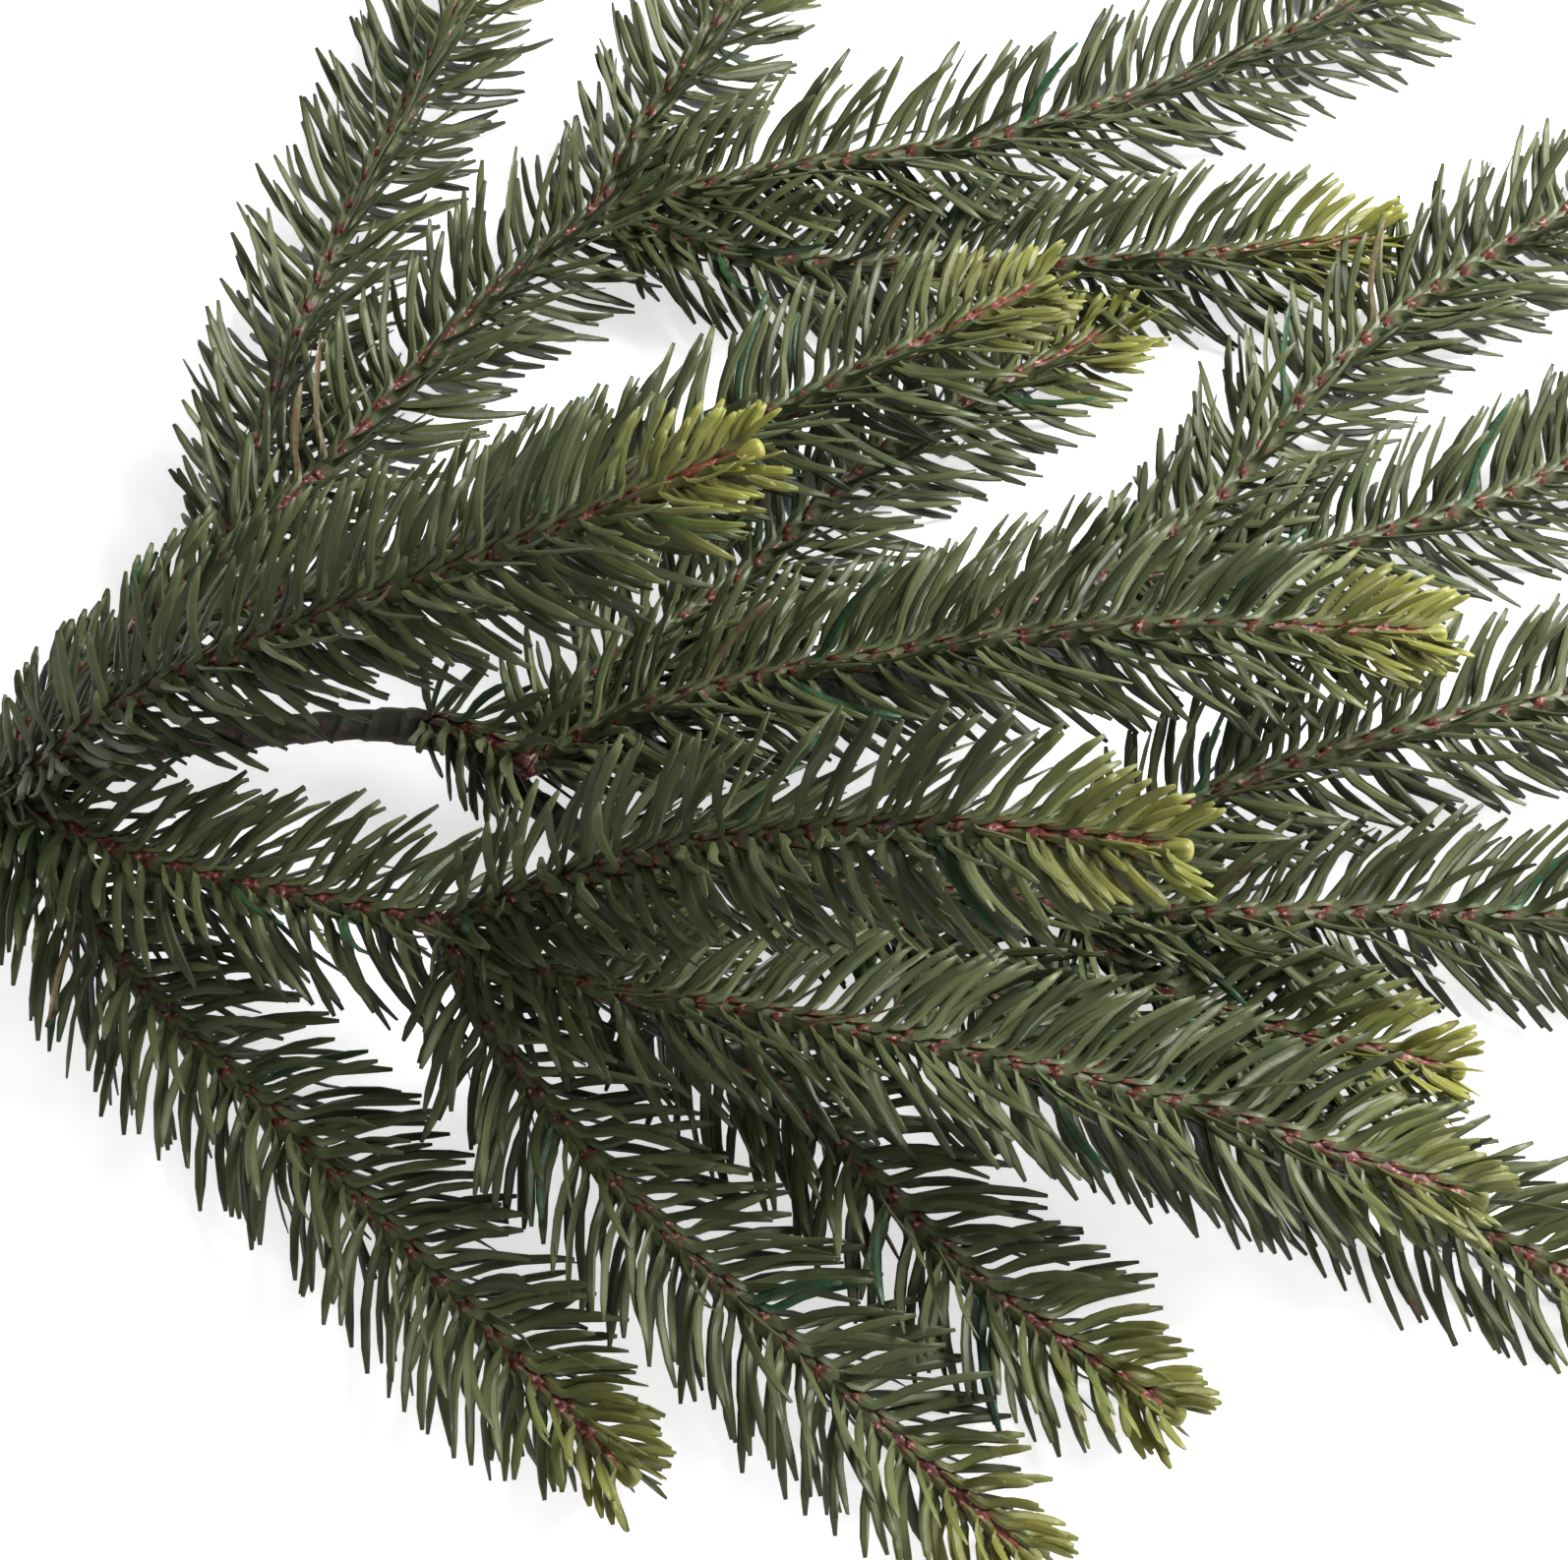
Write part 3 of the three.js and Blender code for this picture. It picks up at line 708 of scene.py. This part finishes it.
# How the needles' colours blend: the levels of a noise, or the places along a needle, between
# which each comes in, and its strength. Each needle's own chance and the clouds set its shade.
CLOUD_SHADE = 0.7
CHANCE_SHADE = 0.6
SHADE_START = 0.15
FOOT_FADE = (0.3, 0.5)
FOOT_STRENGTH = 0.45
POINT_FADE = (0.93, 1.0)
POINT_STRENGTH = 0.5
RUSTY_FADE = (0.2, 0.6)
RUSTY_LEVELS = (0.35, 0.6)
RUSTY_STRENGTH = 0.8
TEAL_LEVELS = (0.4, 0.6)
TEAL_STRENGTH = 0.8
RED_LEVELS = (0.40, 0.58)
PAINTED_HIGHLIGHT_LEVELS = (0.58, 0.67)
BY_BUD_STRENGTH = 0.5
AXIL_FADE = (0.08, 0.24)
PAINTED_SHADE_STRENGTH = 0.74
NEEDLE_ROUGHNESS = 0.36
CLOUD_ROUGHER = 0.22

needle_finish = Finish("moulded_needles", roughness=0.45, specular=0.32)
along_needle = needle_finish.attribute("along_needle")
bud_glow = needle_finish.attribute("bud_glow")
chance_value = needle_finish.attribute("chance")
bark = needle_finish.attribute("bark")
painted_shade = needle_finish.attribute("painted_shade")
cloud = needle_finish.noise(CLOUDS_PER_METRE, detail=2)
fine = needle_finish.noise(GRAINS_PER_METRE, detail=3)
shade = cloud * CLOUD_SHADE + chance_value * CHANCE_SHADE - SHADE_START
colour = needle_finish.blend(shade, DARK_GREEN, MID_GREEN)
near_foot = (1 - along_needle.ramp(*FOOT_FADE)) * FOOT_STRENGTH
colour = needle_finish.blend(near_foot, colour, FOOT_GREEN)
near_point = along_needle.ramp(*POINT_FADE) * POINT_STRENGTH
colour = needle_finish.blend(near_point, colour, POINT_GREEN)
rusty = chance_value.above(1 - RUSTY_SHARE) * along_needle.ramp(*RUSTY_FADE)
rusty = rusty * fine.ramp(*RUSTY_LEVELS)
colour = needle_finish.blend(rusty * RUSTY_STRENGTH, colour, RUSTY_NEEDLE)
teal = (1 - chance_value.above(TEAL_SHARE)) * fine.ramp(*TEAL_LEVELS)
colour = needle_finish.blend(teal * TEAL_STRENGTH, colour, TEAL_NEEDLE)
colour = needle_finish.blend(bud_glow, colour, BUD_YELLOW)
bark_colour = needle_finish.blend(fine.ramp(*RED_LEVELS), BARK_BROWN, BARK_RED)
# Painted highlights: pale pink specks over the red bark.
bark_colour = needle_finish.blend(fine.ramp(*PAINTED_HIGHLIGHT_LEVELS), bark_colour, BARK_PAINTED_HIGHLIGHT)
bark_colour = needle_finish.blend(bud_glow * BY_BUD_STRENGTH, bark_colour, BARK_BY_BUD)
axil = 1 - along_needle.ramp(*AXIL_FADE)
colour = needle_finish.blend(bark + (1 - bark) * axil, colour, bark_colour)
# Painted shade: the colour darkens towards the near-black shade colour by each point's painted shade
# number.
colour = needle_finish.blend(painted_shade * PAINTED_SHADE_STRENGTH, colour, PAINTED_SHADE_COLOUR)
needle_finish.feed("Base Color", colour)
needle_finish.feed("Roughness", NEEDLE_ROUGHNESS + cloud * CLOUD_ROUGHER)
needle_finish.bump(fine, NEEDLE_BUMP, strength=BUMP_STRENGTH)


def make_twig(name, route_points, kind, glow, seed, reach_share=1.0, grown_at=34):
    """One moulded twig in place of its plain solid: core, needles and, on a tip, a bud."""
    route = Route(route_points)
    chance = np.random.default_rng(seed)
    is_tip = kind == "tip"
    layout = needle_layout(route.length, reach_share, is_tip, grown_at, chance)
    parts = [core_surface(route, is_tip, glow), needle_surface(route, layout, glow)]
    if is_tip:
        parts.append(bud_surface(route, glow))
    piece = make_piece(name + "_moulding", parts, needle_finish, crisp_step=NEEDLE_SIDES)
    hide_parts(name)
    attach(piece, "root")


FRONT_FORK = (-44, -75, 36)
make_twig("front_stalk", [(-140, -40, 18), (-124, -49, 27), (-99, -61, 32), FRONT_FORK],
          "stalk", glow=0, seed=1)
make_twig("front_long_tip",
          [FRONT_FORK, (-15, -88, 38), (30, -96, 38), (93, -110, 36), (151, -128, 32)],
          "tip", glow=0.38, seed=2)
make_twig("front_raised_tip", [FRONT_FORK, (-22, -73, 52), (8, -74, 74), (50, -81, 98), (88, -89, 108)],
          "tip", glow=0.6, seed=3)
make_twig("front_low_tip",
          [FRONT_FORK, (-30, -100, 29), (-4, -128, 21), (33, -160, 14), (67, -190, 12)],
          "tip", glow=0.6, seed=4)
make_twig("front_lone_tip_high",
          [(-140, -39, 17), (-125, -40, 35), (-106, -34, 50), (-71, -27, 68), (-27, -19, 86),
           (16, -6, 98)],
          "tip", glow=0.74, seed=5, grown_at=66)
make_twig("front_lone_tip_low",
          [(-141, -40, 17), (-126, -57, 20), (-101, -85, 17), (-61, -122, 14), (-7, -175, 12)],
          "tip", glow=0.5, seed=6)


# The back sprig, moulded like the front one, is wound in at the same place and points away. Its
# long inner stalk forks in three, and its two lone tips leave it on either side.
BACK_JOINT = (-95, 11, 26)
BACK_FORK = (-20, 101, 22)
make_twig("back_stalk", [(-141, -39, 17), (-129, -23, 24), (-110, -3, 26), BACK_JOINT],
          "stalk", glow=0, seed=7, reach_share=0.5)
make_twig("back_inner_stalk", [BACK_JOINT, (-75, 33, 26), (-47, 72, 24), BACK_FORK],
          "stalk", glow=0, seed=8)
make_twig("back_middle_tip", [BACK_FORK, (23, 111, 24), (70, 121, 22), (126, 146, 18), (190, 185, 15)],
          "tip", glow=0.8, seed=9)
make_twig("back_left_tip", [BACK_FORK, (-13, 117, 24), (1, 142, 24), (23, 184, 21)],
          "tip", glow=0.8, seed=10)
make_twig("back_right_tip", [BACK_FORK, (20, 91, 18), (58, 91, 15), (101, 93, 14), (157, 99, 14)],
          "tip", glow=0.82, seed=11)
make_twig("back_lone_tip_far",
          [BACK_JOINT, (-90, 46, 22), (-77, 101, 17), (-60, 149, 15), (-46, 190, 14)],
          "tip", glow=0.8, seed=12)
make_twig("back_lone_tip_near",
          [(-115, -9, 26), (-78, -1, 34), (-26, 13, 42), (20, 34, 46), (77, 64, 48)],
          "tip", glow=0.55, seed=13)


# The middle sprig, moulded like the others, is wound in further on. Its short stalk carries two
# lone tips, and an inner stalk that forks in two.
MIDDLE_JOINT = (-29, -38, 30)
MIDDLE_FORK = (90, 10, 18)
make_twig("middle_stalk", [(-53, -24, 17), (-44, -28, 26), MIDDLE_JOINT],
          "stalk", glow=0, seed=14, reach_share=0.9)
make_twig("middle_inner_stalk", [MIDDLE_JOINT, (2, -23, 22), (43, -7, 18), MIDDLE_FORK],
          "stalk", glow=0, seed=15, reach_share=0.9)
make_twig("middle_right_tip",
          [MIDDLE_FORK, (123, 14, 17), (167, 28, 15), (194, 41, 14), (242.5, 70, 14)],
          "tip", glow=0.8, seed=16)
make_twig("middle_left_tip",
          [MIDDLE_FORK, (114, 29, 17), (134, 54, 15), (160, 80, 14), (199, 106, 14), (230, 126, 14)],
          "tip", glow=0.8, seed=17)
make_twig("middle_lone_tip_high",
          [MIDDLE_JOINT, (-5, -29, 37), (36, -21, 42), (91, -16, 46), (151, -17, 46)],
          "tip", glow=0.75, seed=18)
make_twig("middle_lone_tip_low",
          [MIDDLE_JOINT, (-18, -19, 27), (10, 7, 20), (48, 45, 17), (99, 77, 14)],
          "tip", glow=0.7, seed=19)


# The end sprig, moulded like the others, carries on from the end of the stem. Its stalk forks in
# three, and its two lone tips leave the stalk towards the front.
STEM_END = (-17, -51, 17)
END_FORK = (78, -64, 18)
make_twig("end_stalk", [STEM_END, (15, -55, 17), (42, -60, 18), END_FORK], "stalk", glow=0, seed=20)
make_twig("end_middle_tip", [END_FORK, (113, -66, 18), (151, -65, 16), (226, -69, 14)],
          "tip", glow=0.8, seed=21)
make_twig("end_left_tip", [END_FORK, (101, -46, 24), (132, -34, 26), (182, -22, 26), (234, -16, 24)],
          "tip", glow=0.8, seed=22)
make_twig("end_right_tip", [END_FORK, (90, -77, 16), (112, -87, 15), (154, -97, 14)],
          "tip", glow=0.8, seed=23)
make_twig("end_lone_tip_first",
          [STEM_END, (3, -88, 15), (28, -107, 14), (57, -137, 13), (95, -164, 13)],
          "tip", glow=0.6, seed=24)
make_twig("end_lone_tip_second",
          [(33, -58, 17), (62, -83, 15), (90, -99, 13), (137, -119, 12), (191, -148, 12)],
          "tip", glow=0.6, seed=25)
